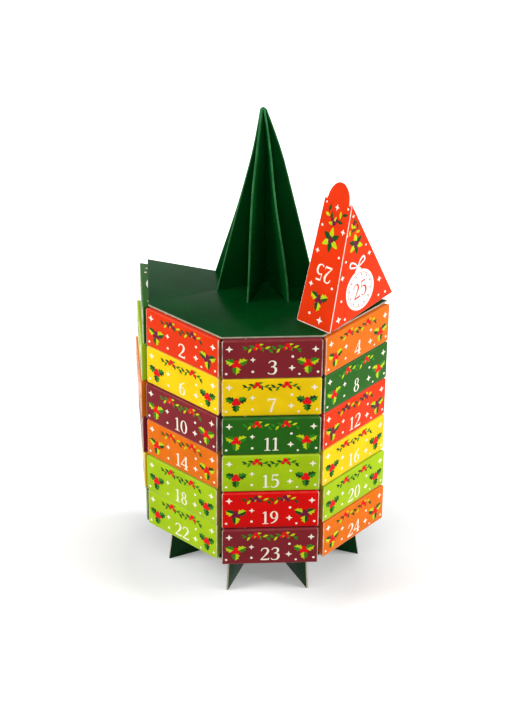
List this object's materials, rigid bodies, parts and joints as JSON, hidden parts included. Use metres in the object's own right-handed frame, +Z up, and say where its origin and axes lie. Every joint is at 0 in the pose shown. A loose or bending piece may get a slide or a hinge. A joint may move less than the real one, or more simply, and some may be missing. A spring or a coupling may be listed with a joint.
{
  "type": "tea advent calendar",
  "caption": "Half-octagon tower of wedge-shaped numbered tea cartons that slide out of a slotted board frame with a folded card tree on top.",
  "frame": {"origin": "on the ground, at the foot of the back panel, on the vertical axis where all the dividers meet", "axes": "+Z up to the tip of the tree, +X along the flat back towards the standing last carton, +Y out of the flat back; the numbered faces look towards -Y"},
  "size_m": [0.2102, 0.1209, 0.3813],
  "materials": {
    "green_board": "satin laminated greyboard, raw grey cut edges",
    "green_tree_card": "satin folded card",
    "leaf_carton": "satin coated folding board",
    "lime_carton": "satin coated folding board",
    "yellow_carton": "satin coated folding board",
    "orange_carton": "satin coated folding board",
    "scarlet_carton": "satin coated folding board",
    "red_carton": "satin coated folding board",
    "maroon_carton": "satin coated folding board",
    "tea_bag": "soft fibrous filter mesh over tea"
  },
  "bodies": {
    "frame": {"top_plate": "green_board", "base_plate": "green_board", "back_panel": "green_board", "divider_left": "green_board", "divider_front": "green_board", "divider_right": "green_board", "folded_tree": "green_tree_card"},
    "carton_01": {"carton_01": "leaf_carton", "tea_bag_01": "tea_bag"},
    "carton_02": {"carton_02": "scarlet_carton", "tea_bag_02": "tea_bag"},
    "carton_03": {"carton_03": "maroon_carton", "tea_bag_03": "tea_bag"},
    "carton_04": {"carton_04": "orange_carton", "tea_bag_04": "tea_bag"},
    "carton_05": {"carton_05": "lime_carton", "tea_bag_05": "tea_bag"},
    "carton_06": {"carton_06": "yellow_carton", "tea_bag_06": "tea_bag"},
    "carton_07": {"carton_07": "yellow_carton", "tea_bag_07": "tea_bag"},
    "carton_08": {"carton_08": "leaf_carton", "tea_bag_08": "tea_bag"},
    "carton_09": {"carton_09": "orange_carton", "tea_bag_09": "tea_bag"},
    "carton_10": {"carton_10": "maroon_carton", "tea_bag_10": "tea_bag"},
    "carton_11": {"carton_11": "leaf_carton", "tea_bag_11": "tea_bag"},
    "carton_12": {"carton_12": "scarlet_carton", "tea_bag_12": "tea_bag"},
    "carton_13": {"carton_13": "maroon_carton", "tea_bag_13": "tea_bag"},
    "carton_14": {"carton_14": "orange_carton", "tea_bag_14": "tea_bag"},
    "carton_15": {"carton_15": "lime_carton", "tea_bag_15": "tea_bag"},
    "carton_16": {"carton_16": "yellow_carton", "tea_bag_16": "tea_bag"},
    "carton_17": {"carton_17": "yellow_carton", "tea_bag_17": "tea_bag"},
    "carton_18": {"carton_18": "lime_carton", "tea_bag_18": "tea_bag"},
    "carton_19": {"carton_19": "red_carton", "tea_bag_19": "tea_bag"},
    "carton_20": {"carton_20": "lime_carton", "tea_bag_20": "tea_bag"},
    "carton_21": {"carton_21": "leaf_carton", "tea_bag_21": "tea_bag"},
    "carton_22": {"carton_22": "lime_carton", "tea_bag_22": "tea_bag"},
    "carton_23": {"carton_23": "maroon_carton", "tea_bag_23": "tea_bag"},
    "carton_24": {"carton_24": "orange_carton", "tea_bag_24": "tea_bag"},
    "carton_25": {"carton_25": "scarlet_carton", "tea_bag_25": "tea_bag"},
    "carton_25_lid": {"carton_25_lid": "scarlet_carton"}
  },
  "joints": [
    {"name": "carton_01_slide", "type": "slide", "parent": "frame", "child": "carton_01", "axis": [-0.9239, -0.3827, 0], "range_m": [0, 0.0896]},
    {"name": "carton_02_slide", "type": "slide", "parent": "frame", "child": "carton_02", "axis": [-0.3827, -0.9239, 0], "range_m": [0, 0.092]},
    {"name": "carton_03_slide", "type": "slide", "parent": "frame", "child": "carton_03", "axis": [0.3827, -0.9239, 0], "range_m": [0, 0.092]},
    {"name": "carton_04_slide", "type": "slide", "parent": "frame", "child": "carton_04", "axis": [0.9239, -0.3827, 0], "range_m": [0, 0.092]},
    {"name": "carton_05_slide", "type": "slide", "parent": "frame", "child": "carton_05", "axis": [-0.9239, -0.3827, 0], "range_m": [0, 0.0872]},
    {"name": "carton_06_slide", "type": "slide", "parent": "frame", "child": "carton_06", "axis": [-0.3827, -0.9239, 0], "range_m": [0, 0.092]},
    {"name": "carton_07_slide", "type": "slide", "parent": "frame", "child": "carton_07", "axis": [0.3827, -0.9239, 0], "range_m": [0, 0.092]},
    {"name": "carton_08_slide", "type": "slide", "parent": "frame", "child": "carton_08", "axis": [0.9239, -0.3827, 0], "range_m": [0, 0.092]},
    {"name": "carton_09_slide", "type": "slide", "parent": "frame", "child": "carton_09", "axis": [-0.9239, -0.3827, 0], "range_m": [0, 0.086]},
    {"name": "carton_10_slide", "type": "slide", "parent": "frame", "child": "carton_10", "axis": [-0.3827, -0.9239, 0], "range_m": [-0.0015, 0.0905]},
    {"name": "carton_11_slide", "type": "slide", "parent": "frame", "child": "carton_11", "axis": [0.3827, -0.9239, 0], "range_m": [-0.0025, 0.0895]},
    {"name": "carton_12_slide", "type": "slide", "parent": "frame", "child": "carton_12", "axis": [0.9239, -0.3827, 0], "range_m": [0, 0.092]},
    {"name": "carton_13_slide", "type": "slide", "parent": "frame", "child": "carton_13", "axis": [-0.9239, -0.3827, 0], "range_m": [0, 0.0868]},
    {"name": "carton_14_slide", "type": "slide", "parent": "frame", "child": "carton_14", "axis": [-0.3827, -0.9239, 0], "range_m": [-0.001, 0.091]},
    {"name": "carton_15_slide", "type": "slide", "parent": "frame", "child": "carton_15", "axis": [0.3827, -0.9239, 0], "range_m": [-0.0035, 0.0885]},
    {"name": "carton_16_slide", "type": "slide", "parent": "frame", "child": "carton_16", "axis": [0.9239, -0.3827, 0], "range_m": [-0.0005, 0.0915]},
    {"name": "carton_17_slide", "type": "slide", "parent": "frame", "child": "carton_17", "axis": [-0.9239, -0.3827, 0], "range_m": [0, 0.088]},
    {"name": "carton_18_slide", "type": "slide", "parent": "frame", "child": "carton_18", "axis": [-0.3827, -0.9239, 0], "range_m": [-0.002, 0.09]},
    {"name": "carton_19_slide", "type": "slide", "parent": "frame", "child": "carton_19", "axis": [0.3827, -0.9239, 0], "range_m": [-0.005, 0.087]},
    {"name": "carton_20_slide", "type": "slide", "parent": "frame", "child": "carton_20", "axis": [0.9239, -0.3827, 0], "range_m": [-0.002, 0.09]},
    {"name": "carton_21_slide", "type": "slide", "parent": "frame", "child": "carton_21", "axis": [-0.9239, -0.3827, 0], "range_m": [0, 0.09]},
    {"name": "carton_22_slide", "type": "slide", "parent": "frame", "child": "carton_22", "axis": [-0.3827, -0.9239, 0], "range_m": [-0.0015, 0.0905]},
    {"name": "carton_23_slide", "type": "slide", "parent": "frame", "child": "carton_23", "axis": [0.3827, -0.9239, 0], "range_m": [-0.007, 0.085]},
    {"name": "carton_24_slide", "type": "slide", "parent": "frame", "child": "carton_24", "axis": [0.9239, -0.3827, 0], "range_m": [-0.003, 0.089]},
    {"name": "carton_25_lift", "type": "slide", "parent": "frame", "child": "carton_25", "axis": [0, 0, 1], "range_m": [0, 0.12]},
    {"name": "carton_25_lid_hinge", "type": "hinge", "parent": "carton_25", "child": "carton_25_lid", "pos_m": [0.05853, -0.06105, 0.2388], "axis": [0.9239, -0.3827, 0], "range_deg": [0, 100]}
  ]
}
